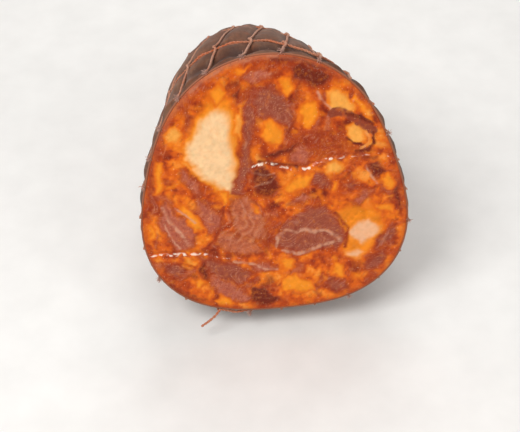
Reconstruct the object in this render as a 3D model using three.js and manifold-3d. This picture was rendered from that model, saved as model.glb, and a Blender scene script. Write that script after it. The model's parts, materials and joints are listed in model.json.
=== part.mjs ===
// Half of a thick cured sausage in a natural casing and a string net, resting on its belly.
//
// Frame: millimetres, +Z up. The cut face looks towards -Y and a little upwards, and the
// tied end points towards +Y. The pieces are made round the middle of the cut. The group is
// then moved, so that the origin is at the middle of the footprint, on the surface below.
//
// Every skin-like piece lies on one family of surfaces, skinPoint(): a place is given by the
// distance from the cut along the sausage's axis, the angle around the axis, and the depth
// below the casing's outer surface, which is negative for the strings that lie on it.

import * as THREE from "three";
import { LoftGeometry } from "three/addons/geometries/LoftGeometry.js";
import { mergeVertices } from "three/addons/utils/BufferGeometryUtils.js";
import Module from "manifold-3d";

// ---- Driving dimensions, in millimetres and degrees ----

// The body
const RADIUS = 53.8; // mean radius at the cut
const LENGTH = 122; // from the cut to the tied neck, along the axis
const TILT = 19; // how far the axis falls towards the tied end
const BELLY = 1.3; // smaller: the body starts to narrow nearer the cut
const SHOULDER = 2.5; // larger: a blunter shoulder at the tied end
const DRIFT_ACROSS = -1.3; // the tied end lies this far to the side of the axis
const DRIFT_UPWARD = 3.4; // and this far above it
const PRESS = 3.2; // how far its weight presses the belly in

// The section isn't a circle: each entry has a number of lobes, their height, and where one points
const LOBES = [
  { count: 2, height: 1.85, angle: -87 },
  { count: 3, height: 3.3, angle: -28 },
  { count: 4, height: 1.1, angle: -42 },
];

// Behind the cut these lobes are added, which grow between two distances from it
const LATER_LOBES = [
  { count: 2, height: 0.9, angle: 10 },
  { count: 3, height: 3.5, angle: 113 },
];
const LATER_FROM = 5;
const LATER_TO = 37;

// The casing, with the bunch that is gathered beyond the tie
const WALL = 1;
const MEAT_FIT = 0.5; // clearance between the meat and the casing
const FIT = 0.4; // clearance between a string and what it lies on
const NECK_RADIUS = 6.5;
const TAIL_LENGTH = 11;
const TAIL_FLARE = 3.2;
const TAIL_PLEATS = 7;
const PLEAT_DEPTH = 1.2;

// The net
const STRING = 1.2; // diameter
const STRANDS = 25; // lengthwise, evenly spaced around the body
const STRAND_START = 86.5; // angle at the cut from which they are counted
const STRAND_TWIST = -0.2; // degrees for each millimetre along the axis
const STRAND_INSET = 0.6; // the strands are cut this far behind the cut face
const STRAND_TAIL = 4; // how far the strands reach beyond the neck
const WEFT_PITCH = 39; // the cross thread winds round the body in turns this far apart
const WEFT_START = -113; // angle at which it crosses the rim of the cut
const WEFT_INSET = 1.5; // it lies on the casing from this far behind the rim
const LOOSE_END = 7; // its end stands this far out from the casing, in front of the cut
const HUMP = 12; // a strand rises over the cross thread within this distance of it

// The tie
const TWINE = 1.6; // diameter
const TIE_TURNS = 4;
const TIE_PITCH = 1.9;
const TIE_ANGLE = 70; // where the knot sits round the neck
const KNOT_SIZE = 2.2;
const TIE_END = 9; // how far each free end reaches to the side
const TIE_END_DROOP = 3.4;

// How finely the curved pieces are divided
const AROUND = 44;
const ALONG = 16;
const STRING_SIDES = 5;
const STRAND_STEPS = 28;
const WEFT_POINTS = 160;
const WEFT_STEPS = 180;
const TIE_STEPS = 14; // for each turn

// ---- Sizes that follow ----

const degrees = THREE.MathUtils.degToRad;
const STRING_RADIUS = STRING / 2;
const LAYER = STRING + FIT; // thickness that one layer of string takes up
const SEAT = 2 * LAYER; // the casing's flat belly rests on two layers of string
const STRANDS_GATHERED = LENGTH + SEAT; // where the strands reach the neck
const TIE_LENGTH = TIE_TURNS * TIE_PITCH;
const TIE_START = STRANDS_GATHERED + STRING + TWINE;
const TIE_STOP = TIE_START + TIE_LENGTH;
const TAIL_START = TIE_STOP + TWINE;
const TAIL_END = TAIL_START + TAIL_LENGTH;
const TIE_RADIUS = NECK_RADIUS + SEAT + FIT + TWINE / 2;

// ---- The family of surfaces ----

function lobes(entries, angle) {
  return entries.reduce(
    (sum, { count, height, angle: at }) => sum + height * Math.cos(degrees(count * (angle - at))),
    0,
  );
}

// Distance from the axis of the surface that is the given depth below the casing's outside
function radiusAt(along, angle, depth) {
  const share = Math.min(along / (LENGTH - depth), 1);
  const fullness = (1 - share ** BELLY) ** (1 / SHOULDER);
  const later = THREE.MathUtils.smoothstep(along, LATER_FROM, LATER_TO);
  const section = lobes(LOBES, angle) * (1 - share) + lobes(LATER_LOBES, angle) * later;
  const body = (RADIUS + section) * fullness;
  const neck = NECK_RADIUS * (1 - fullness);
  const gather = THREE.MathUtils.smoothstep(along, TAIL_START, TAIL_END);
  const pleats = PLEAT_DEPTH * Math.cos(degrees(TAIL_PLEATS * angle));
  return Math.hypot(body, neck) - depth + gather * (TAIL_FLARE + pleats);
}

const axis = new THREE.Vector3(0, Math.cos(degrees(TILT)), -Math.sin(degrees(TILT)));
const across = new THREE.Vector3(1, 0, 0);
const upward = new THREE.Vector3().crossVectors(across, axis);

// A point at a distance along the axis, an angle around it and a distance from it
function axisPoint(along, angle, radius) {
  const share = along / LENGTH;
  return new THREE.Vector3()
    .addScaledVector(axis, along)
    .addScaledVector(across, radius * Math.cos(degrees(angle)) + DRIFT_ACROSS * share)
    .addScaledVector(upward, radius * Math.sin(degrees(angle)) + DRIFT_UPWARD * share);
}

// The surface it rests on: two layers of string below the pressed belly, and clear of the tie
const belly = [-120, -110, -100, -90, -80];
const bellyHeights = Array.from({ length: LENGTH + 1 }, (_, along) =>
  Math.min(...belly.map((angle) => axisPoint(along, angle, radiusAt(along, angle, 0)).z)),
);
const tieHeight = axisPoint(TAIL_START, -90, TIE_RADIUS + TWINE / 2).z;
const FLOOR = Math.min(Math.min(...bellyHeights) + PRESS - SEAT, tieHeight);

// A point of the skin, pressed flat where it would come closer to the floor than the clearance
function skinPoint(along, angle, depth, clearance) {
  const point = axisPoint(along, angle, radiusAt(along, angle, depth));
  point.z = Math.max(point.z, FLOOR + clearance);
  return point;
}

// A closed ring of skin points. The angle runs backwards, so that a loft towards +Y faces out.
function skinRing(along, depth) {
  return Array.from({ length: AROUND }, (_, i) =>
    skinPoint(along, (-360 * i) / AROUND, depth, SEAT + depth),
  );
}

// Distances along the body, close together at the shoulder where it turns in fastest
function bodyStations(depth, count) {
  return Array.from(
    { length: count + 1 },
    (_, i) => (LENGTH - depth) * Math.sin(((i / count) * Math.PI) / 2),
  );
}

// ---- Materials ----

const material = (color, roughness) =>
  new THREE.MeshStandardMaterial({ color, roughness, metalness: 0 });
const meat = material(0xb8481c, 0.4);
const skin = material(0x75543f, 0.75);
const cotton = material(0xa8775c, 0.9);
const elastic = material(0xc4622f, 0.8);
const twine = material(0xb79a7a, 0.9);

const sausage = new THREE.Group();

function addPiece(name, geometry, finish) {
  const mesh = new THREE.Mesh(geometry, finish);
  mesh.name = name;
  sausage.add(mesh);
}

// ---- Filling: the cured meat, one solid with a flat cut face ----

const fillingDepth = WALL + MEAT_FIT;
const fillingRings = bodyStations(fillingDepth, ALONG)
  .slice(0, -1)
  .map((along) => skinRing(along, fillingDepth));
addPiece("filling", new LoftGeometry(fillingRings, { capStart: true, capEnd: true }), meat);

// ---- Casing: a skin open at the cut, gathered into a solid neck and tail at the other end ----

const insideEnd = Array(AROUND).fill(axisPoint(LENGTH - WALL, 0, 0));
const insideRings = bodyStations(WALL, ALONG).map((along) => skinRing(along, WALL));
const outsideRings = bodyStations(0, ALONG).map((along) => skinRing(along, 0));
const tailRings = [0, 0.35, 0.7, 1].map((share) => skinRing(TAIL_START + share * TAIL_LENGTH, 0));
const casingRings = [insideEnd, ...insideRings.reverse(), ...outsideRings, ...tailRings];
addPiece("casing", new LoftGeometry(casingRings, { capEnd: true }), skin);

// ---- Net ----

function roundSection(radius, sides) {
  const points = Array.from({ length: sides }, (_, i) => {
    const angle = (2 * Math.PI * i) / sides;
    return new THREE.Vector2(radius * Math.cos(angle), radius * Math.sin(angle));
  });
  return new THREE.Shape(points);
}

function tube(points, radius, sides, steps) {
  const extrudePath = new THREE.CatmullRomCurve3(points);
  return new THREE.ExtrudeGeometry(roundSection(radius, sides), { steps, extrudePath });
}

// The cross thread lies on the casing and winds from the cut to the neck
const onCasing = -(FIT + STRING_RADIUS);

function weftAngle(along) {
  return WEFT_START + (360 * along) / WEFT_PITCH;
}

const weftStations = bodyStations(onCasing, WEFT_POINTS).filter((along) => along > WEFT_INSET);
const weftPoints = [WEFT_INSET, ...weftStations].map((along) =>
  skinPoint(along, weftAngle(along), onCasing, LAYER + STRING_RADIUS),
);

// Its end comes forward past the rim, and then stands out and down
const rimRadius = radiusAt(0, WEFT_START, onCasing);
const looseEnd = [
  axisPoint(-2, WEFT_START - 1.6, rimRadius + LOOSE_END),
  axisPoint(-1.2, WEFT_START, rimRadius + STRING),
];
const weft = tube([...looseEnd, ...weftPoints], STRING_RADIUS, STRING_SIDES, WEFT_STEPS);
addPiece("net_cross_thread", weft, elastic);

// A strand's angle at a distance from the cut
function strandAngle(index, along) {
  return STRAND_START + (360 * index) / STRANDS + STRAND_TWIST * along;
}

// From 0 on the casing to 1 over the cross thread, and all the way up where the net is gathered
function strandRise(index, along) {
  const turn = 360 / WEFT_PITCH - STRAND_TWIST; // degrees that the weft gains on the strand per mm
  const gained = strandAngle(index, 0) - WEFT_START;
  const crossing = (gained - 360 * Math.round((gained - turn * along) / 360)) / turn;
  const toCrossing = Math.abs(along - crossing);
  const toGather = Math.max(LENGTH - HUMP / 2 - along, 0);
  const near = Math.min(Math.min(toCrossing, toGather) / HUMP, 1);
  return 1 - THREE.MathUtils.smoothstep(near, 0.15, 1);
}

function strandPoints(index) {
  const body = bodyStations(-SEAT, 2 * ALONG).map((along) => Math.max(along, STRAND_INSET));
  return [...body, TIE_START, TIE_STOP, TAIL_START + STRAND_TAIL].map((along) => {
    const depth = onCasing - LAYER * strandRise(index, along);
    return skinPoint(along, strandAngle(index, along), depth, STRING_RADIUS);
  });
}

for (let index = 1; index <= STRANDS; index++) {
  const name = "net_strand_" + String(index).padStart(2, "0");
  addPiece(name, tube(strandPoints(index), STRING_RADIUS, STRING_SIDES, STRAND_STEPS), cotton);
}

// ---- Tie: turns of twine round the gathered neck, with a knot and two short ends ----

const wasm = await Module();
wasm.setup();

function solid(geometry) {
  const bare = geometry.clone().deleteAttribute("normal").deleteAttribute("uv");
  const merged = mergeVertices(bare, 1e-4);
  return new wasm.Manifold(
    new wasm.Mesh({
      numProp: 3,
      vertProperties: merged.getAttribute("position").array,
      triVerts: new Uint32Array(merged.index.array),
    }),
  );
}

function geometryOf(manifold) {
  const { vertProperties, triVerts } = manifold.getMesh();
  return new THREE.BufferGeometry()
    .setAttribute("position", new THREE.BufferAttribute(vertProperties, 3))
    .setIndex(new THREE.BufferAttribute(triVerts, 1));
}

const tiePoints = Array.from({ length: TIE_STEPS * TIE_TURNS + 1 }, (_, i) => {
  const turns = i / TIE_STEPS;
  return axisPoint(TIE_START + turns * TIE_PITCH, TIE_ANGLE + 360 * turns, TIE_RADIUS);
});
const wraps = tube(tiePoints, TWINE / 2, 6, TIE_STEPS * TIE_TURNS);

// The knot lies flat on the turns: its own Z points away from the axis, and its Y along it
const knotRadius = TIE_RADIUS + KNOT_SIZE;
const knotFrame = new THREE.Matrix4().makeBasis(
  axisPoint(0, TIE_ANGLE - 90, 1).sub(axisPoint(0, 0, 0)),
  axis,
  axisPoint(0, TIE_ANGLE, 1).sub(axisPoint(0, 0, 0)),
);
knotFrame.setPosition(axisPoint((TIE_START + TIE_STOP) / 2, TIE_ANGLE, knotRadius));
const knot = new THREE.TorusKnotGeometry(KNOT_SIZE, TWINE / 2, 40, 6, 2, 3);

// The two free ends leave the knot to either side
function tieEnd(side) {
  const points = [
    new THREE.Vector3(0, 0, 0),
    new THREE.Vector3((side * TIE_END) / 2, TIE_PITCH, 0),
    new THREE.Vector3(side * TIE_END, TIE_LENGTH / 2, -TIE_END_DROOP),
  ];
  return tube(points, TWINE / 2, 6, 6);
}

const tie = [knot, tieEnd(1), tieEnd(-1)].reduce(
  (joined, geometry) => joined.add(solid(geometry.applyMatrix4(knotFrame))),
  solid(wraps),
);
addPiece("end_tie", geometryOf(tie), twine);

// ---- Place the origin at the middle of the footprint, on the surface ----

const bounds = new THREE.Box3().setFromObject(sausage, true);
const middle = bounds.getCenter(new THREE.Vector3());
sausage.position.set(-middle.x, -middle.y, -bounds.min.z);

export default sausage;
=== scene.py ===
import json
import math

import bpy
import numpy as np
from mathutils import Matrix, Vector, noise


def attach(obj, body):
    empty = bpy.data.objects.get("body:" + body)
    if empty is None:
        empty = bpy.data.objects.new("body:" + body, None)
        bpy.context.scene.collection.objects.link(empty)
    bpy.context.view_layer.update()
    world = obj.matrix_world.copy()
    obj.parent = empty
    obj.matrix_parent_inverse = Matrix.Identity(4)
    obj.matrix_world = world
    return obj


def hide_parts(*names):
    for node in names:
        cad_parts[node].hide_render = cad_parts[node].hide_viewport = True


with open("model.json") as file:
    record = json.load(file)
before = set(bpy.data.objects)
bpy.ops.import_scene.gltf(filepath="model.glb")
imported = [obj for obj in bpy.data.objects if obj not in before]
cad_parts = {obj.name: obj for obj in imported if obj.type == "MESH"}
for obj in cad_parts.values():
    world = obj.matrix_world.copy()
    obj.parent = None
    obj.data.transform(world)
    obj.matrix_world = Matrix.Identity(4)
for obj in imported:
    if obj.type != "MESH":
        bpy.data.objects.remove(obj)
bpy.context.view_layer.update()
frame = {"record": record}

# ---- Surface, light and camera ----
# The half sausage lies on a plain pale surface in soft studio light, seen from above the cut.

MM = 0.001
cut = next(mount for mount in frame["record"]["mounts"] if mount["name"] == "cut_face")
CUT_MIDDLE = Vector(cut["pos_m"])
CAMERA_FROM_CUT = Vector((-27.6, -308.4, 316.0)) * MM
CAMERA_DOWN = math.radians(46.6)
CAMERA_TURN = math.radians(-4.14)

bpy.context.scene.view_settings.view_transform = "Standard"

camera = bpy.data.objects.new("camera", bpy.data.cameras.new("camera"))
bpy.context.collection.objects.link(camera)
camera.location = CUT_MIDDLE + CAMERA_FROM_CUT
camera.rotation_euler = (math.pi / 2 - CAMERA_DOWN, 0, CAMERA_TURN)
camera.data.lens = 79.6
camera.data.clip_start = 0.01
bpy.context.scene.camera = camera


class Nodes:
    """Adds nodes to one shader or geometry tree, with their settings, and values or links."""

    def __init__(self, tree):
        self.tree = tree

    def add(self, kind, settings=None, sockets=None, output=0):
        node = self.tree.nodes.new(kind)
        for name, value in (settings or {}).items():
            setattr(node, name, value)
        for key, value in (sockets or {}).items():
            self.fill(node.inputs[key], value)
        return Value(self, node.outputs[output]) if node.outputs else node

    def fill(self, socket, value):
        if isinstance(value, Value):
            self.tree.links.new(value.socket, socket)
        else:
            socket.default_value = value

    def ramp(self, factor, *stops):
        """A colour or grey ramp: each stop is its place and its colour."""
        node = self.tree.nodes.new("ShaderNodeValToRGB")
        elements = node.color_ramp.elements
        while len(elements) < len(stops):
            elements.new(1)
        for element, (place, colour) in zip(elements, stops):
            element.position = place
            element.color = (*colour, 1) if len(colour) == 3 else colour
        self.fill(node.inputs[0], factor)
        return Value(self, node.outputs[0])

    def mix(self, factor, first, second):
        """Mixes two colours: the factor is the second one's share."""
        first, second = (each if isinstance(each, Value) else (*each, 1) for each in (first, second))
        return self.add("ShaderNodeMix", {"data_type": "RGBA"}, {0: factor, 6: first, 7: second}, 2)

    def noise(self, place, scale, detail, roughness=0.5):
        sockets = {"Vector": place, "Scale": scale, "Detail": detail, "Roughness": roughness}
        return self.add("ShaderNodeTexNoise", None, sockets)

    def raised(self, height, distance, strength):
        """A normal that makes the height stand out."""
        sockets = {"Height": height, "Distance": distance, "Strength": strength}
        return self.add("ShaderNodeBump", None, sockets, "Normal")


class Value:
    """A socket in a sum: each operation adds its Math node."""

    def __init__(self, nodes, socket):
        self.nodes = nodes
        self.socket = socket

    def _math(self, operation, *numbers):
        return self.nodes.add("ShaderNodeMath", {"operation": operation}, dict(enumerate(numbers)))

    def output(self, name):
        return Value(self.nodes, self.socket.node.outputs[name])

    def __add__(self, other):
        return self._math("ADD", self, other)

    def __sub__(self, other):
        return self._math("SUBTRACT", self, other)

    def __rsub__(self, other):
        return self._math("SUBTRACT", other, self)

    def __mul__(self, other):
        return self._math("MULTIPLY", self, other)

    def __truediv__(self, other):
        return self._math("DIVIDE", self, other)

    __radd__ = __add__
    __rmul__ = __mul__

    def between(self, low, high):
        """0 below low, 1 above high, and smooth between them."""
        sockets = {"Value": self, "From Min": low, "From Max": high}
        return self.nodes.add("ShaderNodeMapRange", {"interpolation_type": "SMOOTHSTEP"}, sockets)


def srgb(text):
    """A colour that is written as six hex digits, in linear light."""
    shares = [int(text[i : i + 2], 16) / 255 for i in (0, 2, 4)]
    return tuple(c / 12.92 if c <= 0.04045 else ((c + 0.055) / 1.055) ** 2.4 for c in shares)


def new_material(name, **constants):
    """A Principled material: the keywords set the sockets that are the same all over it."""
    material = bpy.data.materials.new(name)
    material.use_nodes = True
    shader = material.node_tree.nodes["Principled BSDF"]
    for words, value in constants.items():
        shader.inputs[words.replace("_", " ").title().replace("Ior", "IOR")].default_value = value
    return material, Nodes(material.node_tree), shader


def new_piece(name, vertices, faces, material):
    mesh = bpy.data.meshes.new(name)
    mesh.from_pydata(np.asarray(vertices).tolist(), [], [tuple(face) for face in faces])
    mesh.materials.append(material)
    mesh.shade_smooth()
    piece = bpy.data.objects.new(name, mesh)
    bpy.context.collection.objects.link(piece)
    return piece


FLOOR_HALF = 2.0
floor_material, nodes, shader = new_material("pale_surface", roughness=0.6)
place = nodes.add("ShaderNodeTexCoord", output="Object")
grain = nodes.noise(place, 60, 3)
nodes.fill(shader.inputs["Base Color"], nodes.ramp(grain, (0.3, srgb("e9e7e4")), (0.7, srgb("efedea"))))
corners = [(-1, -1), (1, -1), (1, 1), (-1, 1)]
floor_points = [(x * FLOOR_HALF, y * FLOOR_HALF, 0) for x, y in corners]
floor = new_piece("surface", floor_points, [(0, 1, 2, 3)], floor_material)

world = bpy.data.worlds.new("studio")
world.use_nodes = True
world.node_tree.nodes["Background"].inputs["Color"].default_value = (1, 0.99, 0.97, 1)
world.node_tree.nodes["Background"].inputs["Strength"].default_value = 0.4
bpy.context.scene.world = world

SOFT_LIGHTS = {
    "key": ((-0.45, -0.35, 0.80), 0.45, 5.5),
    "fill": ((0.60, -0.60, 0.45), 0.60, 2.0),
    "back": ((0.10, 0.55, 0.75), 0.50, 2.5),
}
for name, (position, size, power) in SOFT_LIGHTS.items():
    light = bpy.data.lights.new(name, "AREA")
    light.size = size
    light.energy = power
    lamp = bpy.data.objects.new(name, light)
    bpy.context.collection.objects.link(lamp)
    lamp.location = position
    lamp.rotation_euler = (CUT_MIDDLE - lamp.location).to_track_quat("-Z", "Y").to_euler()

# ---- Casing ----
# A natural gut skin, dried brown and slightly translucent. It swells between the strings of the
# net, dips behind the cut, where it has come away from the meat, and is gathered into deep
# pleats at the tied end.

RADIUS = 53.8 * MM
LENGTH = 122 * MM
TILT = math.radians(19)
BELLY = 1.3
SHOULDER = 2.5
# The section's lobes at the cut, and those that grow behind it: how many, how high, and where one points
LOBES = ((2, 1.85 * MM, -87), (3, 3.3 * MM, -28), (4, 1.1 * MM, -42))
LATER_LOBES = ((2, 0.9 * MM, 10), (3, 3.5 * MM, 113))
LATER_FROM = 5 * MM
LATER_TO = 37 * MM
DRIFT_ACROSS = -1.3 * MM
DRIFT_UPWARD = 3.4 * MM
NECK_RADIUS = 6.5 * MM
TAIL_START = 136.4 * MM
TAIL_END = 147.4 * MM
TAIL_FLARE = 3.2 * MM
STRING = 1.2 * MM
STRING_LAYER = 1.6 * MM
STRANDS = 25
STRAND_START = 86.5
STRAND_TWIST = -0.2 / MM
WEFT_PITCH = 39 * MM
WEFT_START = -113
WEFT_PULL = 10 * MM
WEFT_PULL_ANGLE = 73
WALL = 0.7 * MM
HOLLOW_DEPTH = 2.4 * MM
HOLLOW_ALONG = 10 * MM
HOLLOW_ANGLE = 92
CASING_AROUND = 400
CASING_ALONG = 170
TAIL_RINGS = 30

axis = Vector((0, math.cos(TILT), -math.sin(TILT)))
across = Vector((1, 0, 0))
upward = across.cross(axis)


def smooth(low, high, x):
    """0 below low, 1 above high, and smooth between them."""
    share = np.clip((x - low) / (high - low), 0, 1)
    return share * share * (3 - 2 * share)


def bump(x, width):
    """1 at 0, fading to nothing on both sides."""
    return np.exp(-((x / width) ** 2))


def noise_at(x, y, z, seed):
    """Smooth noise from about -1 to 1 at each point of three equal arrays."""
    rows = np.broadcast_arrays(x, y, z)
    points = np.stack([row.ravel() for row in rows], -1) + 17.3 * seed
    return np.array([noise.noise(p) for p in points.tolist()]).reshape(rows[0].shape)


def wrapped(angle):
    """The same angle between -180 and 180 degrees."""
    return (angle + 180) % 360 - 180


def lobes(entries, angle):
    """How far a section with these lobes stands out at an angle."""
    return sum(height * np.cos(np.radians(count * (angle - at))) for count, height, at in entries)


def body_radius(along, angle):
    """Distance of the casing's outside from the axis, before its small folds."""
    share = np.clip(along / LENGTH, 0, 1)
    fullness = (1 - share**BELLY) ** (1 / SHOULDER)
    later = lobes(LATER_LOBES, angle) * smooth(LATER_FROM, LATER_TO, along)
    body = (RADIUS + lobes(LOBES, angle) * (1 - share) + later) * fullness
    return np.hypot(body, NECK_RADIUS * (1 - fullness)) + TAIL_FLARE * smooth(TAIL_START, TAIL_END, along)


def strand_gap(along, angle):
    """Distance around the body to the nearest lengthwise strand."""
    turn = (angle - STRAND_START - STRAND_TWIST * along) / (360 / STRANDS)
    return np.abs(turn - np.round(turn)) * np.radians(360 / STRANDS) * body_radius(along, angle)


def weft_gap(along, angle):
    """Distance along the body from the cross thread, which is pulled forward at one place."""
    pull = WEFT_PULL * bump(wrapped(angle - WEFT_PULL_ANGLE), 9) * smooth(40 * MM, 30 * MM, along)
    return wrapped(WEFT_START + 360 * (along + pull) / WEFT_PITCH - angle) / 360 * WEFT_PITCH


def folds(along, angle):
    """How far the casing stands out from its plain shape: swells, string grooves, wrinkles and pleats."""
    radius = body_radius(along, angle)
    strand, weft = strand_gap(along, angle), weft_gap(along, angle)
    x, y = np.cos(np.radians(angle)), np.sin(np.radians(angle))
    grooves = np.maximum(bump(strand, 1.5 * MM), bump(weft, 1.7 * MM))
    swell = (1 - bump(strand, 4 * MM)) * (1 - bump(weft, 7 * MM))
    broad = noise_at(2.2 * x, 2.2 * y, along / (26 * MM), 1)
    creases = noise_at(9 * x, 9 * y, along / (24 * MM), 2)
    fine = noise_at(24 * x, 24 * y, along / (7 * MM), 3)
    at_neck = smooth(86 * MM, 121 * MM, along)
    deep_pleats = np.cos(np.radians(13 * angle) + 1.6 * broad)
    pleat_wave = deep_pleats + 0.6 * np.cos(np.radians(29 * angle) + 2 * creases)
    pleats = at_neck * pleat_wave * np.minimum(0.075 * radius, 1.1 * MM)
    rucks = at_neck * 0.35 * MM * noise_at(5 * x, 5 * y, along / (3 * MM), 4)
    away_from_cut = smooth(0.3 * MM, 4 * MM, along)
    swells = swell - 0.7 * grooves + 0.6 * broad + 0.5 * creases * (1 - grooves) + 0.12 * fine
    return away_from_cut * (swells * MM * (1 - at_neck) + pleats + rucks)


def hollow(along, angle):
    """Depth of the hollow behind the top of the cut, which the strings bridge."""
    edges = 1 + 0.25 * noise_at(angle / 9, along / (4 * MM), 0, 18)
    reach = bump(along - HOLLOW_ALONG, 5.6 * MM) * bump(wrapped(angle - HOLLOW_ANGLE), 30)
    return HOLLOW_DEPTH * reach * edges


def place_point(along, angle, radius, clearance):
    """Points of the body at least the clearance above the surface, as rows of x, y, z."""
    share = along / LENGTH
    sideways = radius * np.cos(np.radians(angle)) + DRIFT_ACROSS * share
    height = radius * np.sin(np.radians(angle)) + DRIFT_UPWARD * share
    points = np.array(CUT_MIDDLE) + np.multiply.outer(along + 0 * height, axis)
    points = points + np.multiply.outer(sideways, across) + np.multiply.outer(height, upward)
    above = points[..., 2] - clearance
    points[..., 2] = clearance + (above + np.hypot(above, 0.4 * MM)) / 2
    return points


def ring_faces(rings, around, closed_end=True):
    """Faces between neighbouring rings of points, and a fan to one last point."""
    i, j = np.meshgrid(np.arange(rings - 1), np.arange(around), indexing="ij")
    a, b = i * around + j, i * around + (j + 1) % around
    faces = np.stack([a, b, b + around, a + around], -1).reshape(-1, 4).tolist()
    if closed_end:
        last = (rings - 1) * around
        faces += [(last + k, last + (k + 1) % around, rings * around) for k in range(around)]
    return faces


casing_material, nodes, shader = new_material(
    "dried_gut",
    specular_ior_level=0.25,
    subsurface_weight=0.06,
    subsurface_radius=(1, 0.4, 0.25),
    subsurface_scale=2 * MM,
)
place = nodes.add("ShaderNodeTexCoord", output="Object")
groove = nodes.add("ShaderNodeAttribute", {"attribute_name": "groove"}, output="Fac")
rim = nodes.add("ShaderNodeAttribute", {"attribute_name": "rim"}, output="Fac")
clouds = nodes.noise(place, 38, 5, 0.6)
mottle = nodes.noise(place, 190, 4, 0.65)
specks = nodes.noise(place, 900, 2)
streak_place = nodes.add("ShaderNodeMapping", None, {"Vector": place, "Scale": (1, 0.22, 0.6)})
streaks = nodes.noise(streak_place, 520, 4, 0.7)
skin_colour = nodes.ramp(
    clouds,
    (0.32, srgb("4c2b1c")),
    (0.46, srgb("67402b")),
    (0.58, srgb("764e37")),
    (0.72, srgb("87634b")),
)
skin_colour = nodes.mix(streaks.between(0.50, 0.32) * 0.6, skin_colour, srgb("472619"))
skin_colour = nodes.mix(streaks.between(0.54, 0.72) * 0.5, skin_colour, srgb("9a7a62"))
skin_colour = nodes.mix(mottle.between(0.48, 0.72) * 0.55, skin_colour, srgb("8d5238"))
skin_colour = nodes.mix(mottle.between(0.52, 0.30) * 0.5, skin_colour, srgb("4b2c20"))
# painted shade: dark brown in the grooves under the strings and in the hollow behind the cut
skin_colour = nodes.mix(groove.between(0.1, 0.9) * 0.85, skin_colour, srgb("3d2015"))
skin_colour = nodes.mix(specks.between(0.62, 0.8) * 0.3, skin_colour, srgb("a68b78"))
skin_colour = nodes.mix(rim * 0.8, skin_colour, srgb("a8674a"))
nodes.fill(shader.inputs["Base Color"], skin_colour)
nodes.fill(shader.inputs["Roughness"], 0.42 + 0.3 * mottle)
relief = specks * 0.25 + mottle
skin_bump = nodes.raised(relief, 0.35 * MM, 0.7)
nodes.fill(shader.inputs["Normal"], skin_bump)

# rings run from deep inside to the cut, and then along the outside to the end of the tail
around_angles = -360 * np.arange(CASING_AROUND) / CASING_AROUND
inside_along = np.array([118, 100, 60, 30, 20, 16, 13, 10, 7, 4, 1.2, 0.15]) * MM
body_share = np.linspace(0, 1, CASING_ALONG)
outside_along = LENGTH * np.sin(body_share * math.pi / 2) * 0.25 + LENGTH * body_share * 0.75
tail_along = np.linspace(LENGTH, TAIL_END, TAIL_RINGS)[1:]
outside_along = np.concatenate([[0.12 * MM], outside_along[1:], tail_along])
casing_rings = []
for along in inside_along:
    radius = body_radius(along, around_angles) + folds(along, around_angles) - WALL
    radius -= hollow(along, around_angles)
    casing_rings.append(place_point(along, around_angles, radius, 2 * STRING_LAYER + WALL))
along_grid, angle_grid = np.meshgrid(outside_along, around_angles, indexing="ij")
tail_pleats = 1.5 * MM * np.cos(np.radians(7 * angle_grid)) * smooth(TAIL_START, TAIL_END, along_grid)
radius = body_radius(along_grid, angle_grid) + folds(along_grid, angle_grid) + tail_pleats
radius -= hollow(along_grid, angle_grid)
outside = place_point(along_grid, angle_grid, radius, 2 * STRING_LAYER)
casing_rings += list(outside)
for share, back in ((0.86, 0.1), (0.6, 1.4), (0.3, 2.4)):
    casing_rings.append(place_point(TAIL_END - back * MM, around_angles, radius[-1] * share, 0))
tail_middle = place_point(np.array([TAIL_END - 2.6 * MM]), np.array([0.0]), np.array([0.0]), 0)
vertices = np.concatenate([*casing_rings, tail_middle])
casing = new_piece("casing_skin", vertices, ring_faces(len(casing_rings), CASING_AROUND), casing_material)
# how much shade to paint: strongest in the hollow behind the cut, and less in the grooves under the strings
groove_shade_amount = np.zeros(len(vertices))
first = len(inside_along) * CASING_AROUND
under_strands = bump(strand_gap(along_grid, angle_grid), 2.2 * MM)
grooves = np.maximum(under_strands, bump(weft_gap(along_grid, angle_grid), 2.4 * MM))
behind_cut = hollow(along_grid, angle_grid) / HOLLOW_DEPTH
groove_shade_amount[first : first + grooves.size] = np.maximum(grooves * 0.6, behind_cut).ravel()
at_rim = np.zeros(len(vertices))
at_rim[first : first + grooves.size] = smooth(0.9 * MM, 0.1 * MM, along_grid).ravel()
at_rim[:first] = 1
for name, values in (("groove", groove_shade_amount), ("rim", at_rim)):
    casing.data.attributes.new(name, "FLOAT", "POINT").data.foreach_set("value", values)
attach(casing, "root")
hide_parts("casing")

# ---- Filling ----
# Chopped lean and fat pork, cured with paprika until it has set into one mass. The knife has
# left it flat and wet, with two small steps where the blade was pulled again.

FACE_CELLS = 256
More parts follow.
